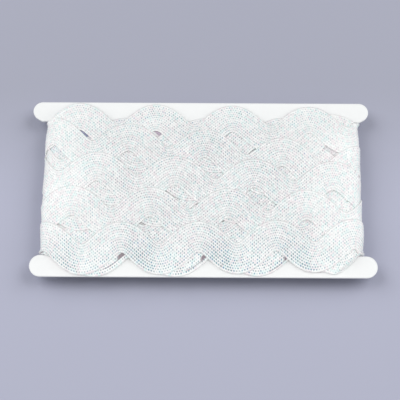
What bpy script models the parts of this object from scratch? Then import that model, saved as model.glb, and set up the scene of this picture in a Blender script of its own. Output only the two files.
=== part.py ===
"""Wave-form polyester braid, a jumbo rickrack, wound lengthwise round a flat white card.

Metres, +Z up. The card lies flat with its long sides along X, and the origin is on the surface
that the winding rests on, below the middle of the card. The braid is one solid: its turns are laid
one after another on an unrolled loop round the card's waist, and the top of what they pile up to
is wrapped round the waist again.
"""

import math
from collections import namedtuple

import bmesh
import bpy
import numpy as np

MM = 0.001

SHARP_ANGLE = math.radians(35)

# Card: a board with a bar along each long side, and a waist between them that holds the braid
CARD_LENGTH = 0.250
CARD_WIDTH = 0.132
CARD_THICKNESS = 0.003
TOP_BAR_WIDTH = 0.0150
BOTTOM_BAR_WIDTH = 0.0158
TOP_EAR_WIDTH = 0.0140
BOTTOM_EAR_WIDTH = 0.0158
TOP_EAR_SLOPE = math.radians(30)
BOTTOM_EAR_SLOPE = 0.0
BAR_SHIFT = 0.0012  # the top bar lies this far to the left, and the bottom bar as far to the right
WAIST_LENGTH = 0.2170
END_CENTRE_INSET = 0.0006
CARD_EDGE_BEVEL = 0.0004
CARD_BEVEL_ANGLE = math.radians(50)
EAR_STEPS = 14

# Braid: a flat band that swings from side to side, as wide overall as its band and its two swings
BAND_WIDTH = 0.0216
BAND_THICKNESS = 0.0009
WAVE_SWING = 0.0079
WAVE_PITCH = 0.0565
ROW_LEAN = 0.38  # 0 where the yarn rows are the same curve side by side, 1 where they fan out square

# Winding: how the turns go round the card
CLEARANCE = 0.0003
PACK_DEPTH = 0.0074
END_RADIUS = 0.0090
NOTCH_CLEARANCE = 0.0007
SPREAD_LENGTH = 0.034
SPREAD_HEIGHT = 0.020
SPREAD_START = math.radians(80)
SQUEEZE = 0.004
MOST_GATHERED = 3.0
INNER_SPREAD = 0.001
TURNS_IN_PASS = 5
TAIL_SHARE = 0.62
TAIL_RISE = 0.012
TRACK_SOFTENING = 0.008
LAY_SOFTENING = 0.0045
LEAST_ROOM_SHARE = 0.05

# Unrolled loop that the turns are laid on
FIELD_STEP_ALONG = 0.001
FIELD_STEP_ACROSS = 0.0005
FIELD_REACH = 0.072

# Facets of the wound solid
FACE_COLUMNS = 62
END_COLUMNS = 8
STRIP_ROWS = 4
EDGE_LIP = 0.00035
EDGE_SAMPLE = 0.0008
RIM_INSET = 0.0012
LEAST_STRIP = 0.0036
LEVEL_FADE = 0.020

# The outermost buried turns, and the turns that show, in the order that they are laid. In
# millimetres: the height of the track on the front at its left end, middle and right end, the X of
# one wave's crest, and the waves' pitch
Turn = namedtuple("Turn", "left middle right crest pitch")
BURIED_LOWEST = Turn(-46.5, -43.0, -44.0, -57.0, 55.6)
BURIED_HIGHEST = Turn(46.0, 41.0, 45.0, -34.2, 56.6)
BURIED_NEXT_HIGHEST = Turn(41.0, 40.0, 42.0, -34.2, 56.6)
LOWER_TOP_PASS = (
    Turn(34.8, 34.4, 35.5, -57.1, 57.6),
    Turn(18.0, 14.9, 12.9, -57.1, 57.0),
    Turn(-3.0, -6.1, -9.2, -100.4, 56.5),
    Turn(-25.0, -28.1, -32.2, -65.7, 56.5),
    Turn(-46.1, -44.7, -43.2, -51.6, 56.0),
)
RISING_PASS = (
    Turn(-47.7, -47.2, -45.6, -48.2, 58.6),
    Turn(-35.1, -30.1, -24.2, -70.2, 56.5),
    Turn(-16.0, -10.1, -4.2, -59.4, 56.5),
    Turn(1.0, 7.9, 15.9, -92.5, 56.5),
    Turn(16.0, 27.5, 39.4, -74.1, 56.5),
)
LAST_PASS = (
    Turn(46.0, 44.9, 43.3, -90.8, 56.6),
    Turn(33.6, 24.7, 12.4, -53.2, 56.3),
    Turn(8.0, 2.5, -0.2, -76.0, 57.0),
    Turn(-19.1, -20.6, -22.2, -93.8, 56.4),
    Turn(-46.7, -45.6, -43.2, -58.0, 55.6),
)

# Sizes that follow from the ones above
NOTCH_TOP = CARD_WIDTH / 2 - TOP_BAR_WIDTH
NOTCH_BOTTOM = BOTTOM_BAR_WIDTH - CARD_WIDTH / 2
NOTCH_MIDDLE = (NOTCH_TOP + NOTCH_BOTTOM) / 2
NOTCH_LIMIT = NOTCH_TOP - NOTCH_MIDDLE - NOTCH_CLEARANCE
END_CENTRE = WAIST_LENGTH / 2 - END_CENTRE_INSET
FACE_LENGTH = 2 * END_CENTRE
HALF_END_LENGTH = math.pi / 2 * END_RADIUS
COLUMNS = round((2 * FACE_LENGTH + 4 * HALF_END_LENGTH) / FIELD_STEP_ALONG)
LOOP_LENGTH = COLUMNS * FIELD_STEP_ALONG
FRONT_START = HALF_END_LENGTH
FRONT_END = FRONT_START + FACE_LENGTH
BACK_START = LOOP_LENGTH - FRONT_END
BACK_END = LOOP_LENGTH - FRONT_START
TAIL_END = BACK_START + TAIL_SHARE * FACE_LENGTH
CARD_MIDDLE_Z = PACK_DEPTH + CLEARANCE + CARD_THICKNESS / 2

ALONG = (np.arange(COLUMNS) + 0.5) * FIELD_STEP_ALONG
ACROSS = np.arange(-FIELD_REACH, FIELD_REACH, FIELD_STEP_ACROSS)

# The loop from the middle of the left end over the front, the right end and the back: where its
# stretches meet, and there the X of the line it bends round and the way it faces, 0 being up
LOOP_KNOTS = (0, FRONT_START, FRONT_END, BACK_START, BACK_END, LOOP_LENGTH)
LOOP_MIDDLE_X = (-END_CENTRE, -END_CENTRE, END_CENTRE, END_CENTRE, -END_CENTRE, -END_CENTRE)
LOOP_ANGLES = (-math.pi / 2, 0, 0, math.pi, math.pi, 3 * math.pi / 2)


def smooth_step(value):
    value = np.clip(value, 0, 1)
    return value * value * (3 - 2 * value)


def buried_pass(first, last):
    """A pass between two outermost turns, with the turns in between evenly spaced."""
    shares = [i / (TURNS_IN_PASS - 1) for i in range(TURNS_IN_PASS)]
    return tuple(Turn(*(a + (b - a) * share for a, b in zip(first, last))) for share in shares)


def all_turns():
    return (
        buried_pass(BURIED_LOWEST, BURIED_HIGHEST)
        + buried_pass(BURIED_HIGHEST, BURIED_LOWEST)
        + buried_pass(BURIED_LOWEST, BURIED_NEXT_HIGHEST)
        + LOWER_TOP_PASS
        + RISING_PASS
        + LAST_PASS
    )


def distance_onto_face(along):
    """How far each point of the loop lies past the nearer end bend, and less than 0 on a bend."""
    front = np.minimum(along - FRONT_START, FRONT_END - along)
    back = np.minimum(along - BACK_START, BACK_END - along)
    return np.maximum(front, back)


def spread_limit(along):
    """How far from the notch's middle the braid may reach: inside it at the ends, then over the bars."""
    past_bend = distance_onto_face(along) + END_RADIUS * SPREAD_START
    return NOTCH_LIMIT + SPREAD_HEIGHT * smooth_step(past_bend / SPREAD_LENGTH)


def squeezed(across, along):
    """The braid's points, pressed inwards where they would pass the limit."""
    from_middle = across - NOTCH_MIDDLE
    start = spread_limit(along) - SQUEEZE
    past = np.maximum(np.abs(from_middle) - start, 0)
    pressed = start + SQUEEZE * (1 - np.exp(-past / SQUEEZE))
    return NOTCH_MIDDLE + np.sign(from_middle) * np.where(past > 0, pressed, np.abs(from_middle))


def gathered(along, across):
    """How many times as thick a band is as elsewhere, where the notch's side presses it narrower."""
    past = np.abs(across - NOTCH_MIDDLE) - spread_limit(along) + SQUEEZE
    return 1 / (1 - np.clip(past / SQUEEZE, 0, 1 - 1 / MOST_GATHERED))


def softened(values, length):
    """A weighted running mean along the whole winding."""
    reach = round(3 * length / FIELD_STEP_ALONG)
    weights = np.exp(-0.5 * (np.arange(-reach, reach + 1) * FIELD_STEP_ALONG / length) ** 2)
    return np.convolve(np.pad(values, reach, mode="edge"), weights / weights.sum(), mode="valid")


def middle_line(turns):
    """The height of the braid's middle at every column of every turn."""
    knots, tracks, phases = [], [], []
    phase = 0.0
    for number, turn in enumerate(turns):
        start = number * LOOP_LENGTH + FRONT_START
        first_phase = (-END_CENTRE / MM - turn.crest) / turn.pitch
        if knots:
            waves = (start - knots[-1]) / WAVE_PITCH
            first_phase += round(phase + waves - first_phase)
        phase = first_phase + FACE_LENGTH / MM / turn.pitch
        knots += [start, start + FACE_LENGTH / 2, start + FACE_LENGTH]
        tracks += [turn.left * MM, turn.middle * MM, turn.right * MM]
        phases += [first_phase, (first_phase + phase) / 2, phase]
    knots.append(knots[-1] + LOOP_LENGTH - FACE_LENGTH)
    tracks.append(tracks[-1] + TAIL_RISE)
    phases.append(phase + (LOOP_LENGTH - FACE_LENGTH) / WAVE_PITCH)
    along = (np.arange(len(turns) * COLUMNS) + 0.5) * FIELD_STEP_ALONG
    track = softened(np.interp(along, knots, tracks), TRACK_SOFTENING)
    phase = softened(np.interp(along, knots, phases), TRACK_SOFTENING)
    return along, track + WAVE_SWING * np.cos(2 * math.pi * phase)


def band_edges(turns):
    """The lower and upper edge of the band at every column, one row for each turn."""
    along, middle = middle_line(turns)
    slope = np.gradient(middle, FIELD_STEP_ALONG)
    edges = []
    for offset in (-BAND_WIDTH / 2, BAND_WIDTH / 2):
        leaning = along - offset * ROW_LEAN * slope
        edge = np.interp(along, leaning, middle + offset).reshape(len(turns), COLUMNS)
        edges.append(squeezed(edge, ALONG))
    return edges


def blurred(field, length):
    """The field softened both ways. It joins up along the loop, and there is room at its sides."""
    along = np.fft.fftfreq(field.shape[0], FIELD_STEP_ALONG)[:, None]
    across = np.fft.rfftfreq(field.shape[1], FIELD_STEP_ACROSS)[None, :]
    weights = np.exp(-2 * (math.pi * length) ** 2 * (along**2 + across**2))
    return np.fft.irfft2(np.fft.rfft2(field) * weights, s=field.shape)


def laying_order(count):
    """(turn, first column, end column) of each run. The tail is tucked under the turn before it."""
    half = COLUMNS // 2
    tail = (count - 1, half, round(TAIL_END / FIELD_STEP_ALONG))
    runs = []
    for turn in range(count - 1):
        runs += [(turn, 0, half), (turn, half, COLUMNS)]
    return runs[:-1] + [tail, runs[-1], (count - 1, 0, half)]


def piled_up(low, high):
    """The height of the winding over every point of the unrolled loop, above the card's own surface."""
    from_middle = np.abs(ACROSS - NOTCH_MIDDLE)
    room = (from_middle[None, :] < spread_limit(ALONG)[:, None] + CLEARANCE).astype(float)
    share = np.maximum(blurred(room, LAY_SOFTENING), LEAST_ROOM_SHARE)
    thickness = BAND_THICKNESS * gathered(ALONG[:, None], ACROSS)
    height = np.zeros(room.shape)
    for turn, first, end in laying_order(len(low)):
        bed = blurred(height * room, LAY_SOFTENING) / share
        covered = np.zeros(room.shape, bool)
        covered[first:end] = (ACROSS > low[turn, first:end, None]) & (ACROSS < high[turn, first:end, None])
        height = np.where(covered, bed + thickness, height)
    return height


def sampled(field, along, across):
    """Values of the field between its points."""
    column = along / FIELD_STEP_ALONG - 0.5
    row = (across + FIELD_REACH) / FIELD_STEP_ACROSS
    left, low = np.floor(column).astype(int), np.floor(row).astype(int)
    u, v = column - left, row - low
    first, second = field[left % COLUMNS], field[(left + 1) % COLUMNS]
    pick = np.arange(len(left))
    near = first[pick, low] * (1 - v) + first[pick, low + 1] * v
    far = second[pick, low] * (1 - v) + second[pick, low + 1] * v
    return near * (1 - u) + far * u


def column_places():
    """Where the solid's columns stand along the loop: close together round the ends."""
    face = np.arange(FACE_COLUMNS) / FACE_COLUMNS * FACE_LENGTH
    end = np.arange(END_COLUMNS) / END_COLUMNS * 2 * HALF_END_LENGTH
    front = FRONT_START + face
    back = BACK_START + face
    return np.concatenate([front, FRONT_END + end, back, BACK_END + end]) % LOOP_LENGTH


def at_columns(edge, places):
    return np.interp(places, ALONG, edge, period=LOOP_LENGTH)


def closed_level(edges, turn, places):
    """One turn's edge as a closed loop: at the left end it passes over to where the turn before ended."""
    fade = smooth_step((places - BACK_END + LEVEL_FADE) / (HALF_END_LENGTH + LEVEL_FADE))
    return at_columns(edges[turn], places) * (1 - fade) + at_columns(edges[turn - 1], places) * fade


def solid_rows(low, high, places):
    """(place across, place where its height is read) of every row of the solid, from the top edge down.

    The rows keep to the edges of the last pass's bands, with one row on either side of each edge.
    """
    count = len(low)
    top = np.max([at_columns(edge, places) for edge in high[:-1]], axis=0)
    bottom = np.min([at_columns(edge, places) for edge in low[:-1]], axis=0)
    bottom = np.where(places < TAIL_END, np.minimum(bottom, at_columns(low[-1], places)), bottom)
    edges = [closed_level(high, turn, places) for turn in range(count - TURNS_IN_PASS + 1, count)]
    edges.append(closed_level(low, count - 1, places))
    above = top
    for i, edge in enumerate(edges):
        edge = np.minimum(edge, above - LEAST_STRIP)
        edges[i] = np.maximum(edge, bottom + LEAST_STRIP * (len(edges) - i))
        above = edges[i]
    upper = top - RIM_INSET
    rows = [(top, top - EDGE_SAMPLE), (upper, upper)]
    for edge in edges:
        for share in np.arange(1, STRIP_ROWS) / STRIP_ROWS:
            between = upper + (edge - upper) * share
            rows.append((between, between))
        rows.append((edge + EDGE_LIP, edge + EDGE_SAMPLE))
        rows.append((edge - EDGE_LIP, edge - EDGE_SAMPLE))
        upper = edge - EDGE_LIP
    rows.append((bottom + RIM_INSET, bottom + RIM_INSET))
    rows.append((bottom, bottom + EDGE_SAMPLE))
    return rows


def wrapped(along, across, height):
    """Points of the unrolled loop, wrapped round the card: height is measured from the card's surface."""
    along = along % LOOP_LENGTH
    reach = CARD_THICKNESS / 2 + height
    middle_x = np.interp(along, LOOP_KNOTS, LOOP_MIDDLE_X)
    angle = np.interp(along, LOOP_KNOTS, LOOP_ANGLES)
    x = middle_x + reach * np.sin(angle)
    z = CARD_MIDDLE_Z + reach * np.cos(angle)
    return np.stack([x, across, z], axis=-1)


def winding_rings():
    """Rings of points round the card: the outside from the top edge down, then the two inner edges.

    Where the winding rests it is pressed flat, at the height of the surface.
    """
    low, high = band_edges(all_turns())
    field = piled_up(low, high)
    places = column_places()
    rings = []
    for across, read_at in solid_rows(low, high, places):
        height = np.maximum(sampled(field, places, read_at), BAND_THICKNESS)
        rings.append(wrapped(places, across, height + CLEARANCE))
    on_face = distance_onto_face(places) > INNER_SPREAD
    for ring in (rings[-1], rings[0]):
        in_notch = np.clip(ring[:, 1], NOTCH_MIDDLE - NOTCH_LIMIT, NOTCH_MIDDLE + NOTCH_LIMIT)
        inner = np.where(on_face, ring[:, 1], in_notch)
        rings.append(wrapped(places, inner, np.full(len(places), CLEARANCE)))
    points = np.array(rings)
    points[:, :, 2] = np.maximum(points[:, :, 2], 0)
    return points


def new_object(name, mesh, material):
    obj = bpy.data.objects.new(name, mesh)
    bpy.context.scene.collection.objects.link(obj)
    mesh.materials.append(material)
    mesh.shade_smooth()
    mesh.set_sharp_from_angle(angle=SHARP_ANGLE)
    return obj


def new_material(name, colour, roughness):
    material = bpy.data.materials.new(name)
    material.use_nodes = True
    shader = material.node_tree.nodes["Principled BSDF"]
    shader.inputs["Base Color"].default_value = (*colour, 1)
    shader.inputs["Roughness"].default_value = roughness
    shader.inputs["Metallic"].default_value = 0
    material.diffuse_color = (*colour, 1)
    return material


def make_braid():
    """The wound braid: rings of points round the card, joined to the next ring and closed on themselves."""
    rings = winding_rings()
    number = np.arange(rings.shape[0] * rings.shape[1]).reshape(rings.shape[:2])
    below = np.roll(number, -1, axis=0)
    beside = np.roll(number, -1, axis=1)
    across = np.roll(below, -1, axis=1)
    faces = np.stack([number, below, across, beside], axis=-1).reshape(-1, 4)
    mesh = bpy.data.meshes.new("wound_braid")
    mesh.from_pydata(rings.reshape(-1, 3).tolist(), [], faces.tolist())
    new_object("wound_braid", mesh, new_material("white_braid", (0.80, 0.83, 0.84), 0.45))


def card_outline():
    """The card's outline, anticlockwise from the notch's top right corner.

    The bars' ends are round ears. The inner side of a top ear slopes down to the notch's own side.
    """
    outline = []
    for side_x, side_y in ((1, 1), (-1, 1), (-1, -1), (1, -1)):
        top = side_y > 0
        notch_side = CARD_WIDTH / 2 - (TOP_BAR_WIDTH if top else BOTTOM_BAR_WIDTH)
        radius = (TOP_EAR_WIDTH if top else BOTTOM_EAR_WIDTH) / 2
        slope = TOP_EAR_SLOPE if top else BOTTOM_EAR_SLOPE
        ear_x = CARD_LENGTH / 2 - radius - side_x * side_y * BAR_SHIFT
        ear_y = CARD_WIDTH / 2 - radius
        turns = [slope + (math.pi - slope) * i / EAR_STEPS for i in range(EAR_STEPS + 1)]
        ear = [(ear_x + radius * math.sin(turn), ear_y - radius * math.cos(turn)) for turn in turns]
        inner_side = [(WAIST_LENGTH / 2, notch_side)]
        if slope:
            slope_x, slope_y = ear[0]
            inner_side.append((slope_x - (slope_y - notch_side) / math.tan(slope), notch_side))
        quarter = [(side_x * x, side_y * y) for x, y in inner_side + ear]
        outline += quarter if side_x == side_y else quarter[::-1]
    return outline


def make_card():
    mesh = bpy.data.meshes.new("card")
    shape = bmesh.new()
    bottom = CARD_MIDDLE_Z - CARD_THICKNESS / 2
    corners = [shape.verts.new((x, y, bottom)) for x, y in card_outline()]
    face = shape.faces.new(corners)
    raised = bmesh.ops.extrude_face_region(shape, geom=[face])
    top = [item for item in raised["geom"] if isinstance(item, bmesh.types.BMVert)]
    bmesh.ops.translate(shape, verts=top, vec=(0, 0, CARD_THICKNESS))
    bmesh.ops.recalc_face_normals(shape, faces=shape.faces[:])
    shape.to_mesh(mesh)
    shape.free()
    card = new_object("card", mesh, new_material("white_board", (0.90, 0.91, 0.905), 0.5))
    bevel = card.modifiers.new("eased edges", "BEVEL")
    bevel.width = CARD_EDGE_BEVEL
    bevel.segments = 1
    bevel.limit_method = "ANGLE"
    bevel.angle_limit = CARD_BEVEL_ANGLE


def main():
    for obj in list(bpy.data.objects):
        bpy.data.objects.remove(obj)
    make_card()
    make_braid()


main()
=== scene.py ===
"""Looks of a wave-form polyester braid, wound lengthwise round a flat white card.

It is laid out as a Blender add-on and run as a script. Metres, +Z up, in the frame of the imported
model. The turns of the braid are laid one after another on the unrolled loop round the card's
waist, as in the part's source, and every turn is then made as a band with its yarns and stitches.
"""

import functools
import math
from collections import namedtuple

import bpy
import numpy as np
from bpy.props import FloatProperty, FloatVectorProperty, IntProperty, PointerProperty
from bpy.types import Operator, Panel, PropertyGroup
from mathutils import Matrix, Vector


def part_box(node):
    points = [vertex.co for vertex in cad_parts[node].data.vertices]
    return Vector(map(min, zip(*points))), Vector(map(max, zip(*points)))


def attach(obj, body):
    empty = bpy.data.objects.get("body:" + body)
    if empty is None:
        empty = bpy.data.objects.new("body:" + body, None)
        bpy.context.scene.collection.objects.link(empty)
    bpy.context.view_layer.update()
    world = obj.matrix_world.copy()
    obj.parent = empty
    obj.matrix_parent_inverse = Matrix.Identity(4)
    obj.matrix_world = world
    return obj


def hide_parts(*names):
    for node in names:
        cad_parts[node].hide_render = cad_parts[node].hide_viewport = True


bl_info = {
    "name": "Wave Braid on a Card",
    "version": (1, 0, 0),
    "blender": (4, 5, 0),
    "location": "3D View > Sidebar > Wave Braid",
    "description": "Winds a wave-form braid round a flat card and sets it in a plain studio",
    "category": "Object",
}

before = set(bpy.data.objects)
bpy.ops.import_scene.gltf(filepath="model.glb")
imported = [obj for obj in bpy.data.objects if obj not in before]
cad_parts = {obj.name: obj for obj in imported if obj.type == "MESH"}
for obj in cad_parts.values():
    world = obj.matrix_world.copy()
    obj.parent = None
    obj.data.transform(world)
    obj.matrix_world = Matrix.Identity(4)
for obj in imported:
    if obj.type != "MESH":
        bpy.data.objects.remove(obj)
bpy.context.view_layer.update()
CARD_LOW, CARD_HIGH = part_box("card")

MM = 0.001

# The card, read off the frame, and its waist
CARD_THICKNESS = CARD_HIGH.z - CARD_LOW.z
CARD_MIDDLE_Z = (CARD_HIGH.z + CARD_LOW.z) / 2
TOP_BAR_WIDTH = 0.0150
BOTTOM_BAR_WIDTH = 0.0158
WAIST_LENGTH = 0.2170
END_CENTRE_INSET = 0.0006

# How the turns go round the card, as in the part's source
ROW_LEAN = 0.38
CLEARANCE = 0.0003
END_RADIUS = 0.0090
NOTCH_CLEARANCE = 0.0007
SPREAD_LENGTH = 0.034
SPREAD_HEIGHT = 0.020
SPREAD_START = math.radians(80)
SQUEEZE = 0.004
MOST_GATHERED = 3.0
TURNS_IN_PASS = 5
TAIL_SHARE = 0.62
TAIL_RISE = 0.012
TRACK_SOFTENING = 0.008
LAY_SOFTENING = 0.0045
LEAST_ROOM_SHARE = 0.05

# The unrolled loop, and the table of heights that each turn keeps
STEP_ALONG = 0.001
STEP_ACROSS = 0.0005
REACH = 0.072
TABLE_ROWS = 13
HEIGHT_SOFTENING = 0.003

# Sizes that follow from the ones above
NOTCH_TOP = CARD_HIGH.y - TOP_BAR_WIDTH
NOTCH_BOTTOM = CARD_LOW.y + BOTTOM_BAR_WIDTH
NOTCH_MIDDLE = (NOTCH_TOP + NOTCH_BOTTOM) / 2
NOTCH_LIMIT = NOTCH_TOP - NOTCH_MIDDLE - NOTCH_CLEARANCE
END_CENTRE = WAIST_LENGTH / 2 - END_CENTRE_INSET
FACE_LENGTH = 2 * END_CENTRE
HALF_END_LENGTH = math.pi / 2 * END_RADIUS
COLUMNS = round((2 * FACE_LENGTH + 4 * HALF_END_LENGTH) / STEP_ALONG)
LOOP_LENGTH = COLUMNS * STEP_ALONG
FRONT_START = HALF_END_LENGTH
FRONT_END = FRONT_START + FACE_LENGTH
BACK_START = LOOP_LENGTH - FRONT_END
BACK_END = LOOP_LENGTH - FRONT_START
TAIL_END = BACK_START + TAIL_SHARE * FACE_LENGTH
LOOP_KNOTS = (0, FRONT_START, FRONT_END, BACK_START, BACK_END, LOOP_LENGTH)
LOOP_MIDDLE_X = (-END_CENTRE, -END_CENTRE, END_CENTRE, END_CENTRE, -END_CENTRE, -END_CENTRE)
LOOP_ANGLES = (-math.pi / 2, 0, 0, math.pi, math.pi, 3 * math.pi / 2)
ALONG = (np.arange(COLUMNS) + 0.5) * STEP_ALONG
ACROSS = np.arange(-REACH, REACH, STEP_ACROSS)

# The outermost buried turns, and the turns that show, in the order that they are laid. In
# millimetres: the height of the track on the front at its left end, middle and right end, the X of
# one wave's crest, and the waves' pitch
Turn = namedtuple("Turn", "left middle right crest pitch")
BURIED_LOWEST = Turn(-46.5, -43.0, -44.0, -57.0, 55.6)
BURIED_HIGHEST = Turn(46.0, 41.0, 45.0, -34.2, 56.6)
BURIED_NEXT_HIGHEST = Turn(41.0, 40.0, 42.0, -34.2, 56.6)
LOWER_TOP_PASS = (
    Turn(34.8, 34.4, 35.5, -57.1, 57.6),
    Turn(18.0, 14.9, 12.9, -57.1, 57.0),
    Turn(-3.0, -6.1, -9.2, -100.4, 56.5),
    Turn(-25.0, -28.1, -32.2, -65.7, 56.5),
    Turn(-46.1, -44.7, -43.2, -51.6, 56.0),
)
RISING_PASS = (
    Turn(-47.7, -47.2, -45.6, -48.2, 58.6),
    Turn(-35.1, -30.1, -24.2, -70.2, 56.5),
    Turn(-16.0, -10.1, -4.2, -59.4, 56.5),
    Turn(1.0, 7.9, 15.9, -92.5, 56.5),
    Turn(16.0, 27.5, 39.4, -74.1, 56.5),
)
LAST_PASS = (
    Turn(46.0, 44.9, 43.3, -90.8, 56.6),
    Turn(33.6, 24.7, 12.4, -53.2, 56.3),
    Turn(8.0, 2.5, -0.2, -76.0, 57.0),
    Turn(-19.1, -20.6, -22.2, -93.8, 56.4),
    Turn(-46.7, -45.6, -43.2, -58.0, 55.6),
)
HIDDEN_TURNS = 3 * TURNS_IN_PASS
TURN_COUNT = HIDDEN_TURNS + 3 * TURNS_IN_PASS
LOWEST_RISING_TURN = TURN_COUNT - 2 * TURNS_IN_PASS

# Dark slits of painted shadow lie on the lowest turn of the rising pass, beside its outer yarns, where
# its inner yarns fall away under the turn above, and a furrow of painted shade runs up to each from the
# left. In millimetres: the X of the first slit, the length from one to the next, and how far the
# furrow's middle lies to the left of the slit's
SLIT_PLACE = -57.0
SLIT_PITCH = 59.6
FURROW_SHIFT = 6

# In yarns: how far the first furrow lies from the band's edge, how much nearer the next one lies,
# and how much further in than its furrow a slit lies
FURROW_ROW = 1.9
FURROW_ROW_STEP = 0.6
SLIT_INSET = 0.6

# Where the braid's colours and painted shade change, in metres from the card's middle
TOWARDS_END = (0.045, 0.112)
TOWARDS_BAR = (0.025, 0.060)
TOWARDS_BOTTOM_BAR = (0.025, 0.055)
TOP_GAPS = (0.018, 0.032)
PAST_LEFT_GAP = (-0.075, -0.040)
CLOUD_SCALE = 45.0

# How strong the colours of the braid are, as shares of 1. The grooves, the turns below, the slits and
# the furrows take painted shade; each stitch also takes a darker tone that differs at random
PAINTED_GROOVE_SHADE = 0.18
STITCH_SHADE = 0.20
LEAST_SHADE = 0.03
CALM_OUTSIDE = 0.85
BELOW_TOP_SHADE = 0.12
HIDDEN_SHADE = 0.8
SLIT_SHADOW = 0.9
FURROW_SHADOW = 0.63

# How round a yarn's crown is and how sharp a pit's painted shade is, both as powers, and the height
# of the yarn's strands in its bump
CROWN_POWER = 0.7
PIT_SHADE_POWER = 1.3
GROOVE_POWER = 3.0
STRAND_HEIGHT = 0.06
YARN_BUMP = 0.7

# Studio, in metres: the lamps' distance, sizes and leans, the sky's colour, the floor's reach and
# where its colour changes to a painted shade at the back. The camera's sensor is in millimetres
LAMP_DISTANCE = 2.5
KEY_SIZE = 1.9
SIDE_SIZE = 1.5
SIDE_RISE = 0.40
FRONT_SIZE = 2.2
FRONT_LEAN = 0.12
SKY_COLOUR = (0.97, 0.985, 1.0, 1)
FLOOR_REACH = 3.0
FLOOR_SHADE_FADE = (-0.02, 0.09)
SENSOR_WIDTH = 36.0

# How finely a turn is made: points to a yarn row across, points to a stitch along, and the faces
# of its underside. A turn that is mostly buried is coarser, and its yarns are left to its finish.
Grain = namedtuple("Grain", "across along under")
FINE = Grain(3, 4, 4)
MEDIUM = Grain(3, 2, 4)
PLAIN = Grain(2, 1, 4)
BURIED = Grain(0.5, 0.5, 3)

# Where a turn is laid out for baking: it is folded into rows in the unit square
BAKE_ROWS = 5
BAKE_TOP = (0.06, 0.86)
BAKE_UNDER = (0.90, 0.99)
BAKE_WALL = 0.02


def number_setting(name, description, default):
    return FloatProperty(name=name, description=description, default=default)


def length_setting(name, description, default):
    return FloatProperty(name=name, description=description, default=default, unit="LENGTH")


def angle_setting(name, description, degrees):
    return FloatProperty(name=name, description=description, default=math.radians(degrees), unit="ROTATION")


def share_setting(name, description, default):
    return FloatProperty(name=name, description=description, default=default, subtype="FACTOR")


def colour_setting(name, description, default):
    return FloatVectorProperty(name=name, description=description, default=default, subtype="COLOR")


class BraidSettings(PropertyGroup):
    """Sizes and colours of the braid."""

    band_width: length_setting("Band width", "Width of the band between its two edges", 0.0216)
    band_thickness: length_setting("Thickness", "Thickness of the braid as it is wound", 0.0009)
    wave_swing: length_setting("Wave swing", "How far the band swings to either side", 0.0079)
    wave_pitch: length_setting("Wave pitch", "Length of one wave where the turns don't say", 0.0565)
    yarn_rows: IntProperty(name="Yarn rows", description="Yarns side by side across the band", default=12)
    stitches: IntProperty(name="Stitches", description="Stitches of one yarn in a turn", default=336)
    ridge: length_setting("Ridge", "How far a yarn stands above the groove beside it", 0.00034)
    pit: share_setting("Pit", "Share of the ridge that a yarn dips by between stitches", 0.75)
    unevenness: length_setting("Unevenness", "How far single stitches stand proud or lie low", 0.00012)
    picot: length_setting("Picot", "How far the edge yarn bulges at each stitch", 0.00016)
    edge_height: length_setting("Edge height", "How high the band's very edges lie above their bed", 0.0005)
    yarn_colour: colour_setting("Yarn", "White of the yarn", (0.985, 0.985, 0.970))
    cool_tint: colour_setting("Cool tint", "Faint glint of some stitches", (0.79, 0.93, 0.91))
    warm_tint: colour_setting("Warm tint", "Faint glint of other stitches", (0.94, 0.85, 0.87))
    # The four pit colours are painted shade in the gaps between stitches, tinted teal, blue, grey and
    # lilac; the grey is also the painted shade in the grooves between the yarns
    teal_pit_shade: colour_setting("Teal pit", "Blue-green of pits between stitches", (0.12, 0.33, 0.38))
    blue_pit_shade: colour_setting("Blue pit", "Blue of pits between stitches", (0.14, 0.24, 0.42))
    grey_pit_shade: colour_setting("Grey pit", "Grey of pits between stitches", (0.28, 0.31, 0.32))
    lilac_pit_shade: colour_setting("Lilac pit", "Lilac of pits between stitches", (0.34, 0.27, 0.36))
    # The two depth colours are painted shade on the turns that lie below, seen down the gaps between the
    # top ones
    pink_depth_shade: colour_setting("Pink depth", "Colour of the turns seen down a gap", (0.62, 0.41, 0.46))
    purple_depth_shade: colour_setting("Purple depth", "The same near the top bar", (0.19, 0.19, 0.44))
    # The slit colour is painted shadow, where the lowest rising turn's inner yarns fall away under the turn
    # above
    slit_shadow_colour: colour_setting("Slit", "Dark mauve of the slits by the lower bar", (0.20, 0.14, 0.17))
    roughness: share_setting("Roughness", "Roughness of the yarn", 0.42)


class CardSettings(PropertyGroup):
    """Colours of the card."""

    board_colour: colour_setting("Board", "White of the coated board", (0.90, 0.91, 0.905))
    roughness: share_setting("Roughness", "Roughness of the coating", 0.5)
    fleck: share_setting("Fleck", "How much the white of the board varies", 0.02)


class StudioSettings(PropertyGroup):
    """The floor, the lights and the camera."""

    near_floor: colour_setting("Near floor", "Colour of the floor in front", (0.435, 0.445, 0.555))
    # The far floor colour is painted shade: the floor darkens towards the back
    far_floor_shade: colour_setting("Far floor", "Colour of the floor at the back", (0.352, 0.360, 0.440))
    sky_strength: number_setting("Surround", "Strength of the even light", 0.38)
    key_energy: number_setting("Floor light", "Watts of each of the two behind, on the floor alone", 42.0)
    key_turn: angle_setting("Floor light turn", "From straight behind to each of the two", 58)
    key_elevation: angle_setting("Floor light elevation", "Angle of the two above the floor", 38)
    fill_energy: number_setting("Front light", "Watts of the one over the camera, on the part alone", 38.0)
    side_energy: number_setting("Side light", "Watts of each of the two beside the part, on it alone", 18.0)
    lens: number_setting("Lens", "Focal length in millimetres", 85.0)
    elevation: angle_setting("Elevation", "Angle of the view above the floor", 75.621)
    roll: angle_setting("Roll", "Turn of the picture", 0.302)
    distance: length_setting("Distance", "From the camera to the point it looks at", 0.6886)
    aim: FloatVectorProperty(
        name="Aim",
        description="Where the camera looks, on the card's face",
        default=(-0.00145, -0.00909),
        size=2,
    )


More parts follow.
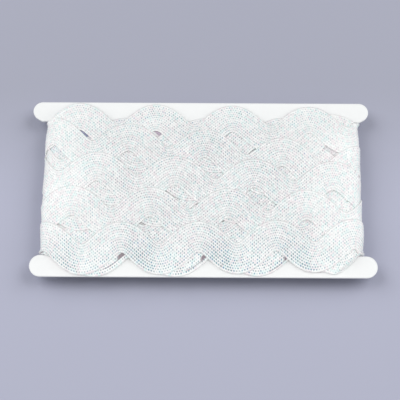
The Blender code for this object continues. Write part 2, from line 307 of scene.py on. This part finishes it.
def smooth_step(value):
    value = np.clip(value, 0, 1)
    return value * value * (3 - 2 * value)


def buried_pass(first, last):
    """A pass between two outermost turns, with the turns in between evenly spaced."""
    shares = [i / (TURNS_IN_PASS - 1) for i in range(TURNS_IN_PASS)]
    return tuple(Turn(*(a + (b - a) * share for a, b in zip(first, last))) for share in shares)


def all_turns():
    return (
        buried_pass(BURIED_LOWEST, BURIED_HIGHEST)
        + buried_pass(BURIED_HIGHEST, BURIED_LOWEST)
        + buried_pass(BURIED_LOWEST, BURIED_NEXT_HIGHEST)
        + LOWER_TOP_PASS
        + RISING_PASS
        + LAST_PASS
    )


def spread_limit(along):
    """How far from the notch's middle the braid may reach: inside it at the ends, then over the bars."""
    along = along % LOOP_LENGTH
    front = np.minimum(along - FRONT_START, FRONT_END - along)
    back = np.minimum(along - BACK_START, BACK_END - along)
    past_bend = np.maximum(front, back) + END_RADIUS * SPREAD_START
    return NOTCH_LIMIT + SPREAD_HEIGHT * smooth_step(past_bend / SPREAD_LENGTH)


def squeezed(across, along):
    """The braid's points, pressed inwards where they would pass the limit."""
    from_middle = across - NOTCH_MIDDLE
    start = spread_limit(along) - SQUEEZE
    past = np.maximum(np.abs(from_middle) - start, 0)
    pressed = start + SQUEEZE * (1 - np.exp(-past / SQUEEZE))
    return NOTCH_MIDDLE + np.sign(from_middle) * np.where(past > 0, pressed, np.abs(from_middle))


def gathered(along, across):
    """How many times as thick a band is as elsewhere, where the notch's side presses it narrower."""
    past = np.abs(across - NOTCH_MIDDLE) - spread_limit(along) + SQUEEZE
    return 1 / (1 - np.clip(past / SQUEEZE, 0, 1 - 1 / MOST_GATHERED))


def softened(values, length):
    """A weighted running mean along the whole winding, down each column of the values."""
    reach = round(3 * length / STEP_ALONG)
    weights = np.exp(-0.5 * (np.arange(-reach, reach + 1) * STEP_ALONG / length) ** 2)
    padded = np.pad(values, ((reach, reach), (0, 0)), mode="edge")
    columns = [np.convolve(column, weights / weights.sum(), mode="valid") for column in padded.T]
    return np.array(columns).T


def blurred(field, length):
    """The field softened both ways. It joins up along the loop, and there is room at its sides."""
    along = np.fft.fftfreq(field.shape[0], STEP_ALONG)[:, None]
    across = np.fft.rfftfreq(field.shape[1], STEP_ACROSS)[None, :]
    weights = np.exp(-2 * (math.pi * length) ** 2 * (along**2 + across**2))
    return np.fft.irfft2(np.fft.rfft2(field) * weights, s=field.shape)


def sampled(field, along, across):
    """Values of the field between its points."""
    column = along / STEP_ALONG - 0.5
    row = (across + REACH) / STEP_ACROSS
    left, low = np.floor(column).astype(int), np.floor(row).astype(int)
    u, v = column - left, row - low
    left, right = left % COLUMNS, (left + 1) % COLUMNS
    near = field[left, low] * (1 - v) + field[left, low + 1] * v
    far = field[right, low] * (1 - v) + field[right, low + 1] * v
    return near * (1 - u) + far * u


def wrapped(along, across, height):
    """Points of the unrolled loop, wrapped round the card: height is measured from the card's surface."""
    along = along % LOOP_LENGTH
    reach = CARD_THICKNESS / 2 + height
    middle_x = np.interp(along, LOOP_KNOTS, LOOP_MIDDLE_X)
    angle = np.interp(along, LOOP_KNOTS, LOOP_ANGLES)
    x = middle_x + reach * np.sin(angle)
    z = CARD_MIDDLE_Z + reach * np.cos(angle)
    return np.stack([x, across, z], axis=-1)


def resting_height(thickness):
    """The highest bed at each column that keeps a turn's top off the floor under the roll."""
    down = -np.cos(np.interp(ALONG, LOOP_KNOTS, LOOP_ANGLES))
    reach = CARD_MIDDLE_Z / np.maximum(down, MM)
    return reach - CARD_THICKNESS / 2 - CLEARANCE - thickness


def laying_order():
    """(turn, first column, end column) of each run. The tail is tucked under the turn before it."""
    half = COLUMNS // 2
    tail = (TURN_COUNT - 1, half, round(TAIL_END / STEP_ALONG))
    runs = []
    for turn in range(TURN_COUNT - 1):
        runs += [(turn, 0, half), (turn, half, COLUMNS)]
    return runs[:-1] + [tail, runs[-1], (TURN_COUNT - 1, 0, half)]


class Winding:
    """Where the braid's middle runs, and the height of the bed under every part of every turn."""

    def __init__(self, band_width, thickness, swing, pitch):
        self.width = band_width
        self.thickness = thickness
        self.along, self.middle = self.middle_line(all_turns(), swing, pitch)
        self.slope = np.gradient(self.middle, STEP_ALONG)
        self.beds = softened(self.lay(), HEIGHT_SOFTENING)

    def middle_line(self, turns, swing, pitch):
        knots, tracks, phases = [], [], []
        phase = 0.0
        for number, turn in enumerate(turns):
            start = number * LOOP_LENGTH + FRONT_START
            first_phase = (-END_CENTRE / MM - turn.crest) / turn.pitch
            if knots:
                waves = (start - knots[-1]) / pitch
                first_phase += round(phase + waves - first_phase)
            phase = first_phase + FACE_LENGTH / MM / turn.pitch
            knots += [start, start + FACE_LENGTH / 2, start + FACE_LENGTH]
            tracks += [turn.left * MM, turn.middle * MM, turn.right * MM]
            phases += [first_phase, (first_phase + phase) / 2, phase]
        knots.append(knots[-1] + LOOP_LENGTH - FACE_LENGTH)
        tracks.append(tracks[-1] + TAIL_RISE)
        phases.append(phase + (LOOP_LENGTH - FACE_LENGTH) / pitch)
        along = (np.arange(len(turns) * COLUMNS) + 0.5) * STEP_ALONG
        lines = np.stack([np.interp(along, knots, tracks), np.interp(along, knots, phases)], axis=1)
        track, phase = softened(lines, TRACK_SOFTENING).T
        return along, track + swing * np.cos(2 * math.pi * phase)

    def places(self, run, offset):
        """Where points of the braid lie on the loop. run is how far along the braid, offset across it."""
        middle = np.interp(run, self.along, self.middle)
        slope = np.interp(run, self.along, self.slope)
        along = run - offset * ROW_LEAN * slope
        return along, squeezed(middle + offset, along)

    def edges(self):
        """The lower and upper edge of the band at every column, one row for each turn."""
        found = []
        for offset in (-self.width / 2, self.width / 2):
            leaning = self.along - offset * ROW_LEAN * self.slope
            edge = np.interp(self.along, leaning, self.middle + offset).reshape(-1, COLUMNS)
            found.append(squeezed(edge, ALONG))
        return found

    def lay(self):
        """The height of each turn's bed, in a table with a row for each column and TABLE_ROWS across.

        The turns are laid in order, each on what lies there. Then, from the last one back, a turn is
        pressed down where a later one covers it.
        """
        low, high = self.edges()
        from_middle = np.abs(ACROSS - NOTCH_MIDDLE)
        room = (from_middle[None, :] < spread_limit(ALONG)[:, None] + CLEARANCE).astype(float)
        share = np.maximum(blurred(room, LAY_SOFTENING), LEAST_ROOM_SHARE)
        thickness = self.thickness * gathered(ALONG[:, None], ACROSS)
        height = np.zeros(room.shape)
        laid = []
        for turn, first, end in laying_order():
            bed = blurred(height * room, LAY_SOFTENING) / share
            covered = np.zeros(room.shape, bool)
            inside = (ACROSS > low[turn, first:end, None]) & (ACROSS < high[turn, first:end, None])
            covered[first:end] = inside
            height = np.where(covered, bed + thickness, height)
            laid.append((turn, first, end, bed, covered))
        offsets = np.linspace(-0.5, 0.5, TABLE_ROWS) * self.width
        along, across = self.places(self.along[:, None], offsets)
        beds = np.zeros(along.shape)
        ceiling = np.tile(resting_height(self.thickness)[:, None] + self.thickness, room.shape[1])
        for turn, first, end, bed, covered in reversed(laid):
            bed = np.maximum(np.minimum(bed, ceiling - thickness), 0)
            part = slice(turn * COLUMNS + first, turn * COLUMNS + end)
            beds[part] = sampled(bed, along[part], across[part])
            ceiling = np.where(covered, np.minimum(ceiling, bed), ceiling)
        return beds

    def bed_at(self, run, offsets):
        """The bed's height at every one of run's places along and offsets across."""
        row = (offsets / self.width + 0.5) * (TABLE_ROWS - 1)
        low = np.clip(np.floor(row).astype(int), 0, TABLE_ROWS - 2)
        v = np.clip(row - low, 0, 1)
        across = self.beds[:, low] * (1 - v) + self.beds[:, low + 1] * v
        column = np.clip(run / STEP_ALONG - 0.5, 0, len(self.beds) - 1.001)
        left = column.astype(int)
        u = (column - left)[:, None]
        return across[left] * (1 - u) + across[left + 1] * u


@functools.cache
def wound(band_width, thickness, swing, pitch):
    return Winding(band_width, thickness, swing, pitch)


class Band:
    """One turn of the braid as a closed band: its yarns on top, two walls and a plain underside."""

    def __init__(self, winding, turn, grain, braid):
        stitch = LOOP_LENGTH / braid.stitches
        stitches = braid.stitches
        if turn == TURN_COUNT - 1:
            stitches = int(TAIL_END / stitch)
        columns = round(stitches * grain.along) + 1
        self.turn = turn
        self.stitch_places = np.linspace(0, stitches, columns)
        run = turn * LOOP_LENGTH + self.stitch_places * stitch
        row_places = np.linspace(0, braid.yarn_rows, round(braid.yarn_rows * grain.across) + 1)
        under_places = np.linspace(braid.yarn_rows, 0, grain.under)
        self.row_places = np.concatenate([row_places, under_places])
        self.top_count = len(row_places)
        offsets = (self.row_places / braid.yarn_rows - 0.5) * winding.width
        beds = winding.bed_at(run, offsets)
        relief, bulge = self.yarns(row_places, grain, braid)
        shifted = np.tile(offsets, (columns, 1))
        shifted[:, 0] -= bulge[:, 0]
        shifted[:, self.top_count - 1] += bulge[:, 1]
        along, across = winding.places(run[:, None], shifted)
        top = slice(0, self.top_count)
        proud = np.zeros(beds.shape)
        proud[:, top] = winding.thickness * gathered(along[:, top], across[:, top]) + relief
        if grain.across >= 2:
            proud[:, [0, self.top_count - 1]] = braid.edge_height
        self.points = wrapped(along, across, CLEARANCE + beds + proud)
        self.points[..., 2] = np.maximum(self.points[..., 2], 0)

    def yarns(self, rows, grain, braid):
        """How far each point of the top lies below the band's own top, and how far its edges bulge."""
        if grain.across < 2:
            flat = np.full((len(self.stitch_places), len(rows)), -braid.ridge / 2)
            return flat, np.zeros((len(self.stitch_places), 2))
        row = np.minimum(np.floor(rows + MM), braid.yarn_rows - 1)
        phase = self.stitch_places[:, None] + self.turn * braid.stitches + row % 2 / 2
        bead = 0.5 + 0.5 * np.cos(2 * math.pi * phase)
        crown = np.sin(math.pi * (rows - row)) ** CROWN_POWER
        chance = np.random.default_rng(self.turn)
        lift = chance.uniform(-1, 1, (braid.stitches + 2, braid.yarn_rows)) * braid.unevenness
        cell = np.round(self.stitch_places[:, None] + row % 2 / 2).astype(int)
        lift = lift[np.minimum(cell, braid.stitches + 1), row.astype(int)[None, :]]
        relief = crown * (1 - braid.pit * (1 - bead))
        bulge = braid.picot * bead[:, [0, -1]]
        return -braid.ridge * (1 - relief) - np.abs(lift) * crown, bulge


def joined(bands):
    """The bands' points, faces, weave places and places for baking, as one mesh's."""
    points, faces, weave, baked, caps = [], [], [], [], []
    first = 0
    for band in bands:
        columns, ring = band.points.shape[:2]
        number = first + np.arange(columns * ring).reshape(columns, ring)
        beside = np.roll(number, -1, axis=1)
        faces.append(np.stack([number[:-1], number[1:], beside[1:], beside[:-1]], axis=-1).reshape(-1, 4))
        caps += [number[0].tolist(), number[-1][::-1].tolist()]
        points.append(band.points.reshape(-1, 3))
        stitch = np.repeat(band.stitch_places, ring)
        row, turn = np.tile(band.row_places, columns), np.full(stitch.shape, band.turn)
        weave.append(np.stack([stitch, row, turn], axis=-1))
        baked.append(bake_places(band))
        first += columns * ring
    return np.concatenate(points), np.concatenate(faces), np.concatenate(weave), np.concatenate(baked), caps


def bake_places(band):
    """A place in the unit square for each corner of the band's faces, in the faces' order."""
    ring = len(band.row_places)
    top = np.linspace(*BAKE_TOP, band.top_count)
    under = np.linspace(*BAKE_UNDER, ring - band.top_count)
    starts = np.concatenate([top, under])
    ends = np.append(starts[1:], BAKE_TOP[0])
    starts[-1] = BAKE_WALL
    span = math.ceil(band.stitch_places[-1] / BAKE_ROWS)
    first, last = band.stitch_places[:-1], band.stitch_places[1:]
    fold = np.floor(first / span)
    left, right = first / span - fold, last / span - fold
    u = np.stack([left, right, right, left], axis=-1)[:, None, :]
    v = np.stack([starts, starts, ends, ends], axis=-1)[None, :, :]
    v = (v + fold[:, None, None]) / BAKE_ROWS
    return np.stack(np.broadcast_arrays(u, v), axis=-1).reshape(-1, 2)


def braid_piece(name, bands, finish):
    """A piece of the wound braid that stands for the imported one."""
    points, faces, weave, baked, caps = joined(bands)
    mesh = bpy.data.meshes.new(name)
    mesh.from_pydata(points.tolist(), [], faces.tolist() + caps)
    mesh.shade_smooth()
    places = mesh.attributes.new("weave", "FLOAT_VECTOR", "POINT")
    places.data.foreach_set("vector", weave.astype(np.float32).ravel())
    cap_corners = sum(len(cap) for cap in caps)
    corners = np.concatenate([baked, np.zeros((cap_corners, 2))])
    mesh.uv_layers.new(name="OFBake").data.foreach_set("uv", corners.astype(np.float32).ravel())
    mesh.materials.append(finish)
    piece = bpy.data.objects.new(name, mesh)
    bpy.context.scene.collection.objects.link(piece)
    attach(piece, "root")
    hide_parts("wound_braid")


def turn_pieces(context, turns, grain):
    """A piece for each of these turns."""
    braid = context.scene.wave_braid
    winding = wound(braid.band_width, braid.band_thickness, braid.wave_swing, braid.wave_pitch)
    for turn in turns:
        band = Band(winding, turn, grain, braid)
        braid_piece(f"braid_turn_{turn + 1:02d}", [band], yarn_finish(braid, True))


class Socket:
    """A shader socket for use in expressions. Each operator adds the Math node that works it out."""

    def __init__(self, finish, socket):
        self.finish = finish
        self.socket = socket

    def of(self, name):
        """Another output of the same node."""
        return Socket(self.finish, self.socket.node.outputs[name])

    def math(self, operation, *others):
        values = dict(enumerate((self,) + others))
        return self.finish.node("ShaderNodeMath", {"operation": operation}, values)

    def flipped(self, operation, other):
        return self.finish.node("ShaderNodeMath", {"operation": operation}, {0: other, 1: self})

    def __add__(self, other):
        return self.math("ADD", other)

    def __sub__(self, other):
        return self.math("SUBTRACT", other)

    def __mul__(self, other):
        return self.math("MULTIPLY", other)

    def __truediv__(self, other):
        return self.math("DIVIDE", other)

    def __pow__(self, other):
        return self.math("POWER", other)

    def __radd__(self, other):
        return self.flipped("ADD", other)

    def __rsub__(self, other):
        return self.flipped("SUBTRACT", other)

    def __rmul__(self, other):
        return self.flipped("MULTIPLY", other)

    def floor(self):
        return self.math("FLOOR")

    def fraction(self):
        return self.math("FRACT")

    def smooth(self, low, high):
        """0 below low, 1 above high and a soft step between them."""
        settings = {"interpolation_type": "SMOOTHSTEP"}
        values = {"Value": self, "From Min": low, "From Max": high}
        return self.finish.node("ShaderNodeMapRange", settings, values)


class Finish:
    """A material and its nodes, with a Principled shader that is already on its output."""

    def __init__(self, name, **constants):
        self.material = bpy.data.materials.new(name)
        self.material.use_nodes = True
        self.tree = self.material.node_tree
        self.shader = self.tree.nodes["Principled BSDF"]
        for socket, value in constants.items():
            self.shader.inputs[socket.replace("_", " ")].default_value = value

    def node(self, kind, settings=None, values=None):
        """A new node's first output. Settings are set first, and values are numbers, colours or sockets."""
        node = self.tree.nodes.new(kind)
        for name, setting in (settings or {}).items():
            if name == "stops":
                self.set_stops(node.color_ramp, setting)
            else:
                setattr(node, name, setting)
        for name, value in (values or {}).items():
            self.feed(node.inputs[name], value)
        return Socket(self, next(socket for socket in node.outputs if socket.enabled))

    def feed(self, socket, value):
        if isinstance(value, Socket):
            self.tree.links.new(value.socket, socket)
        elif socket.type == "RGBA" and len(value) == 3:
            socket.default_value = (*value, 1)
        else:
            socket.default_value = value

    def set_stops(self, ramp, stops):
        while len(ramp.elements) < len(stops):
            ramp.elements.new(0.5)
        for element, (position, colour) in zip(ramp.elements, stops):
            element.position = position
            element.color = (*colour, 1)

    def mixed(self, first, second, share):
        """A colour between the two colours."""
        node = self.node("ShaderNodeMix", {"data_type": "RGBA"}).socket.node
        for place, value in ((0, share), (6, first), (7, second)):
            self.feed(node.inputs[place], value)
        return Socket(self, node.outputs[2])

    def chance(self, x, y, z):
        """Three random numbers from 0 to 1 for each cell, as Red, Green and Blue."""
        cell = self.node("ShaderNodeCombineXYZ", None, {"X": x, "Y": y, "Z": z})
        noise = self.node("ShaderNodeTexWhiteNoise", {"noise_dimensions": "3D"}, {"Vector": cell})
        return self.node("ShaderNodeSeparateColor", None, {"Color": noise.of("Color")})

    def set(self, socket, value):
        self.feed(self.shader.inputs[socket], value)


class YarnFinish(Finish):
    """White yarn with pale glints and dark pits of painted shade that differ from stitch to stitch,
    and painted shade in its grooves, down its gaps and in its slits.

    The mesh says where a point lies in the weave: in stitches along, in yarns across, and in turns.
    """

    def __init__(self, name, braid):
        super().__init__(
            name,
            Roughness=braid.roughness,
            Sheen_Weight=0.25,
            Sheen_Roughness=0.4,
            Coat_Weight=0.12,
            Coat_Roughness=0.3,
        )
        self.braid = braid
        weave = self.node("ShaderNodeAttribute", {"attribute_name": "weave"}).of("Vector")
        parts = self.node("ShaderNodeSeparateXYZ", None, {"Vector": weave})
        self.along, self.rows, self.turn = parts.of("X"), parts.of("Y"), parts.of("Z")
        self.row = self.rows.floor()
        self.shifted = self.along + (self.row / 2).fraction()
        self.own = self.chance((self.shifted + 0.5).floor(), self.row, self.turn)
        place = self.node("ShaderNodeNewGeometry").of("Position")
        where = self.node("ShaderNodeSeparateXYZ", None, {"Vector": place})
        self.x, self.y = where.of("X"), where.of("Y")
        self.on_front = where.of("Z").smooth(CARD_HIGH.z, CARD_HIGH.z + MM)
        self.to_end = self.x.math("ABSOLUTE").smooth(*TOWARDS_END)
        self.to_bar = self.y.math("ABSOLUTE").smooth(*TOWARDS_BAR)
        self.to_bottom = (0 - self.y).smooth(*TOWARDS_BOTTOM_BAR)
        cloud = {"Vector": place, "Scale": CLOUD_SCALE, "Detail": 2.0}
        self.cloud = self.node("ShaderNodeTexNoise", None, cloud)

    def wave(self, crest, pitch):
        """A cosine along X, with a crest and a pitch in millimetres."""
        return ((self.x / MM - crest) * (2 * math.pi / pitch)).math("COSINE")

    def glinting(self):
        """The yarn's white with the stitches' faint glints."""
        cool = self.own.of("Red").smooth(0.45, 1.0)
        warm = self.own.of("Green").smooth(0.55, 1.0)
        glint = self.mixed(tuple(self.braid.yarn_colour), tuple(self.braid.cool_tint), cool)
        return self.mixed(glint, tuple(self.braid.warm_tint), warm)

    def groove_and_pit_shaded(self, colour):
        """The colour with painted shade in the grooves between the yarns, and in a pit at every stitch.

        The pits' painted shade is darkest on the right flanks of the lowest turn's waves.
        """
        groove = (self.rows + 0.5).floor()
        pit_place = self.along + groove / 2 + 0.25
        near = self.chance((pit_place + 0.5).floor(), groove, self.turn)
        across_pit = 1 - (self.rows - groove).math("ABSOLUTE") * 2
        along_pit = (pit_place * (2 * math.pi)).math("COSINE") / 2 + 0.5
        inside = self.rows.smooth(0.0, 0.7) * (self.braid.yarn_rows - self.rows).smooth(0.0, 0.7)
        lowest = LAST_PASS[-1]
        flank = self.wave(lowest.crest + lowest.pitch / 4, lowest.pitch).smooth(0.0, 0.9) * self.to_bottom
        # The pits' painted shade differs from pit to pit, is stronger towards the bottom bar and weaker
        # towards the ends
        strength = near.of("Green") * 1.2 + 0.22 + flank * 0.25
        spread = (self.cloud * 0.9 + 0.45 + self.to_bottom * 0.5) * (1 - self.to_end * 0.4)
        pit = across_pit**PIT_SHADE_POWER * (along_pit + flank * 0.2) ** PIT_SHADE_POWER * inside * strength * spread
        # Painted shade in the grooves, and a darker tone that differs at random from stitch to stitch, both
        # weaker towards the ends and the bars
        calm = 1 - self.to_end.math("MAXIMUM", self.to_bar) * CALM_OUTSIDE
        shade = across_pit**GROOVE_POWER * inside * PAINTED_GROOVE_SHADE + self.own.of("Blue") * STITCH_SHADE
        shade = (shade + LEAST_SHADE) * calm
        colour = self.mixed(colour, tuple(self.braid.grey_pit_shade), shade)
        return self.mixed(colour, self.pit_shade_colour(near.of("Red")), pit.math("MINIMUM", 1))

    def pit_shade_colour(self, pick):
        """The colour of one pit's painted shade: grey and lilac in the roll's middle, more blue-green round
        it.
        """
        braid = self.braid
        middle_stops = (
            (0.00, braid.grey_pit_shade),
            (0.35, braid.lilac_pit_shade),
            (0.60, braid.grey_pit_shade),
            (0.80, braid.teal_pit_shade),
            (1.00, braid.blue_pit_shade),
        )
        outer_stops = (
            (0.00, braid.teal_pit_shade),
            (0.40, braid.grey_pit_shade),
            (0.70, braid.teal_pit_shade),
            (1.00, braid.blue_pit_shade),
        )
        middle = self.node("ShaderNodeValToRGB", {"stops": middle_stops}, {"Fac": pick})
        outer = self.node("ShaderNodeValToRGB", {"stops": outer_stops}, {"Fac": pick})
        outwards = self.to_end + self.to_bar + self.cloud * 0.8 - 0.4
        return self.mixed(middle, outer, outwards.math("MAXIMUM", 0).math("MINIMUM", 1))

    def depth_shaded(self, colour):
        """The colour with painted shade on the turns below: pink, or a dark purple down the gaps by the top
        bar.
        """
        below_top = (LOWEST_RISING_TURN - self.turn).smooth(0, 1) * (1 - self.to_bar) * BELOW_TOP_SHADE
        hidden = (1 - self.turn / HIDDEN_TURNS).smooth(-0.02, 0.10) * HIDDEN_SHADE
        purple = self.y.smooth(*TOP_GAPS) * (1 - self.x.smooth(*PAST_LEFT_GAP) * 0.6)
        depth_shade = self.mixed(tuple(self.braid.pink_depth_shade), tuple(self.braid.purple_depth_shade), purple)
        return self.mixed(colour, depth_shade, (hidden + below_top) * self.on_front)

    def slit_shadow(self, colour):
        """The colour with dark slits of painted shadow by the bottom bar, and a furrow of painted shade up
        to each.
        """
        past_first = (self.x / MM - SLIT_PLACE) / SLIT_PITCH
        from_furrow = self.rows - FURROW_ROW + FURROW_ROW_STEP * past_first
        slit_shadow = self.wave(SLIT_PLACE, SLIT_PITCH).smooth(0.90, 0.98)
        slit_shadow = slit_shadow * (1 - (from_furrow - SLIT_INSET).math("ABSOLUTE")).smooth(0.0, 0.5) * SLIT_SHADOW
        furrow_shadow = self.wave(SLIT_PLACE - FURROW_SHIFT, SLIT_PITCH).smooth(0.55, 0.85)
        furrow_shadow = furrow_shadow * (1 - from_furrow.math("ABSOLUTE")).smooth(0.65, 1.0) * FURROW_SHADOW
        on_turn = 1 - (self.turn - LOWEST_RISING_TURN).math("ABSOLUTE").smooth(0.1, 0.4)
        share = slit_shadow.math("MAXIMUM", furrow_shadow) * on_turn * self.on_front
        return self.mixed(colour, tuple(self.braid.slit_shadow_colour), share)

    def relief(self, carved):
        """Heights for the bump: the yarns' strands, and the yarns themselves where the mesh lacks them."""
        height = ((self.along * 3 + self.rows * 4) * (2 * math.pi)).math("SINE") * STRAND_HEIGHT
        if not carved:
            crown = ((self.rows - self.row) * math.pi).math("SINE")
            bead = (self.shifted * (2 * math.pi)).math("COSINE") / 2 + 0.5
            height = height + crown * (bead / 2 + 0.5)
        return height


def yarn_finish(braid, carved):
    """The braid's material. carved says that the mesh has the yarns' own form."""
    name = "pearly_yarn" if carved else "buried_yarn"
    if name in bpy.data.materials:
        return bpy.data.materials[name]
    finish = YarnFinish(name, braid)
    colour = finish.depth_shaded(finish.groove_and_pit_shaded(finish.glinting()))
    finish.set("Base Color", finish.slit_shadow(colour))
    bump = {"Height": finish.relief(carved), "Distance": braid.ridge, "Strength": YARN_BUMP}
    finish.set("Normal", finish.node("ShaderNodeBump", None, bump))
    return finish.material


def board_finish(card):
    """White coated board: an even white with a faint fleck and a faint tooth."""
    finish = Finish("coated_board", Roughness=card.roughness, Coat_Weight=0.06)
    place = finish.node("ShaderNodeNewGeometry").of("Position")
    fleck = finish.node("ShaderNodeTexNoise", None, {"Vector": place, "Scale": 160.0, "Detail": 3.0})
    shade = tuple(c * (1 - 2 * card.fleck) for c in card.board_colour)
    finish.set("Base Color", finish.mixed(tuple(card.board_colour), shade, fleck))
    tooth = finish.node("ShaderNodeTexNoise", None, {"Vector": place, "Scale": 1800.0, "Detail": 2.0})
    finish.set("Normal", finish.node("ShaderNodeBump", None, {"Height": tooth, "Distance": 0.00004}))
    return finish.material


def floor_finish(studio):
    """A pale sheet with painted shade: it is darker towards the back."""
    finish = Finish("studio_floor", Roughness=0.75)
    place = finish.node("ShaderNodeNewGeometry").of("Position")
    where = finish.node("ShaderNodeSeparateXYZ", None, {"Vector": place})
    # The floor darkens towards the back as painted shade
    far = where.of("Y").smooth(*FLOOR_SHADE_FADE)
    finish.set("Base Color", finish.mixed(tuple(studio.near_floor), tuple(studio.far_floor_shade), far))
    return finish.material


class WAVEBRAID_OT_last_pass(Operator):
    """Make the turns that were wound last, which lie on top"""

    bl_idname = "wave_braid.last_pass"
    bl_label = "Last Pass"

    def execute(self, context):
        turn_pieces(context, range(TURN_COUNT - TURNS_IN_PASS, TURN_COUNT), FINE)
        return {"FINISHED"}


class WAVEBRAID_OT_rising_pass(Operator):
    """Make the turns of the pass below, which show between the last ones"""

    bl_idname = "wave_braid.rising_pass"
    bl_label = "Rising Pass"

    def execute(self, context):
        turn_pieces(context, range(LOWEST_RISING_TURN, TURN_COUNT - TURNS_IN_PASS), MEDIUM)
        return {"FINISHED"}


class WAVEBRAID_OT_lower_pass(Operator):
    """Make the turns of the third pass from the top, which show down the gaps"""

    bl_idname = "wave_braid.lower_pass"
    bl_label = "Lower Pass"

    def execute(self, context):
        turn_pieces(context, range(HIDDEN_TURNS, HIDDEN_TURNS + TURNS_IN_PASS), PLAIN)
        return {"FINISHED"}


class WAVEBRAID_OT_buried_turns(Operator):
    """Make the turns next to the card, which hardly show"""

    bl_idname = "wave_braid.buried_turns"
    bl_label = "Buried Turns"

    def execute(self, context):
        braid = context.scene.wave_braid
        winding = wound(braid.band_width, braid.band_thickness, braid.wave_swing, braid.wave_pitch)
        bands = [Band(winding, turn, BURIED, braid) for turn in range(HIDDEN_TURNS)]
        braid_piece("buried_turns", bands, yarn_finish(braid, False))
        return {"FINISHED"}


class WAVEBRAID_OT_card(Operator):
    """Finish the card as white coated board"""

    bl_idname = "wave_braid.card"
    bl_label = "Card"

    def execute(self, context):
        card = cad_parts["card"]
        card.data.materials.clear()
        card.data.materials.append(board_finish(context.scene.braid_card))
        return {"FINISHED"}


class WAVEBRAID_OT_studio(Operator):
    """Set up the floor, the lights and the camera"""

    bl_idname = "wave_braid.studio"
    bl_label = "Studio"

    def execute(self, context):
        studio = context.scene.braid_studio
        self.lay_floor(studio)
        self.hang_lights(studio)
        self.aim_camera(studio)
        view = context.scene.view_settings
        view.view_transform = "Standard"
        view.look = "None"
        return {"FINISHED"}

    def lay_floor(self, studio):
        mesh = bpy.data.meshes.new("floor")
        reach = FLOOR_REACH
        corners = [(-reach, -reach, 0), (reach, -reach, 0), (reach, reach, 0), (-reach, reach, 0)]
        mesh.from_pydata(corners, [], [(0, 1, 2, 3)])
        mesh.materials.append(floor_finish(studio))
        floor = bpy.data.objects.new("floor", mesh)
        bpy.context.scene.collection.objects.link(floor)

    def hang_lights(self, studio):
        world = bpy.data.worlds.new("studio")
        bpy.context.scene.world = world
        world.use_nodes = True
        background = world.node_tree.nodes["Background"]
        background.inputs["Color"].default_value = SKY_COLOUR
        background.inputs["Strength"].default_value = studio.sky_strength
        floor = bpy.data.objects["floor"]
        for side in (-1, 1):
            turn = side * studio.key_turn
            way = Vector((math.sin(turn), math.cos(turn), math.tan(studio.key_elevation)))
            self.hang_lamp("key", way, KEY_SIZE, studio.key_energy, floor, "INCLUDE")
            way = Vector((side, 0, SIDE_RISE))
            self.hang_lamp("side", way, SIDE_SIZE, studio.side_energy, floor, "EXCLUDE")
        way = Vector((0, -FRONT_LEAN, 1))
        self.hang_lamp("front", way, FRONT_SIZE, studio.fill_energy, floor, "EXCLUDE")

    def hang_lamp(self, name, way, size, energy, floor, floor_state):
        """A square soft light that looks at the roll.

        floor_state says whether it lights the floor alone or all but the floor.
        """
        light = bpy.data.lights.new(name, "AREA")
        light.energy = energy
        light.size = size
        lamp = bpy.data.objects.new(name, light)
        lamp.location = way.normalized() * LAMP_DISTANCE
        lamp.rotation_euler = way.to_track_quat("Z", "Y").to_euler()
        bpy.context.scene.collection.objects.link(lamp)
        lit = bpy.data.collections.new("lit by " + name)
        lit.objects.link(floor)
        lit.collection_objects[0].light_linking.link_state = floor_state
        lamp.light_linking.receiver_collection = lit

    def aim_camera(self, studio):
        elevation = studio.elevation
        back = Vector((0, -math.cos(elevation), math.sin(elevation)))
        right = Vector((1, 0, 0))
        up = back.cross(right)
        c, s = math.cos(studio.roll), math.sin(studio.roll)
        turned = Matrix((c * right + s * up, c * up - s * right, back)).transposed()
        data = bpy.data.cameras.new("camera")
        data.lens = studio.lens
        data.sensor_width = SENSOR_WIDTH
        camera = bpy.data.objects.new("camera", data)
        target = Vector((*studio.aim, CARD_HIGH.z))
        camera.matrix_world = Matrix.Translation(target + back * studio.distance) @ turned.to_4x4()
        bpy.context.scene.collection.objects.link(camera)
        bpy.context.scene.camera = camera


class WAVEBRAID_PT_panel(Panel):
    """The braid's settings and the buttons that make its pieces"""

    bl_idname = "WAVEBRAID_PT_panel"
    bl_label = "Wave Braid"
    bl_space_type = "VIEW_3D"
    bl_region_type = "UI"
    bl_category = "Wave Braid"

    def draw(self, context):
        for settings in (context.scene.wave_braid, context.scene.braid_card, context.scene.braid_studio):
            box = self.layout.box()
            for name in settings.__annotations__:
                box.prop(settings, name)
        for operator in OPERATORS:
            self.layout.operator(operator.bl_idname)


SETTINGS = {"wave_braid": BraidSettings, "braid_card": CardSettings, "braid_studio": StudioSettings}
OPERATORS = (
    WAVEBRAID_OT_studio,
    WAVEBRAID_OT_card,
    WAVEBRAID_OT_buried_turns,
    WAVEBRAID_OT_lower_pass,
    WAVEBRAID_OT_rising_pass,
    WAVEBRAID_OT_last_pass,
)


def register():
    for name, group in SETTINGS.items():
        bpy.utils.register_class(group)
        setattr(bpy.types.Scene, name, PointerProperty(type=group))
    for operator in OPERATORS:
        bpy.utils.register_class(operator)
    bpy.utils.register_class(WAVEBRAID_PT_panel)


def unregister():
    bpy.utils.unregister_class(WAVEBRAID_PT_panel)
    for operator in reversed(OPERATORS):
        bpy.utils.unregister_class(operator)
    for name, group in SETTINGS.items():
        delattr(bpy.types.Scene, name)
        bpy.utils.unregister_class(group)


def main():
    register()
    for operator in OPERATORS:
        getattr(bpy.ops.wave_braid, operator.bl_idname.split(".")[1])()


if __name__ == "__main__":
    main()
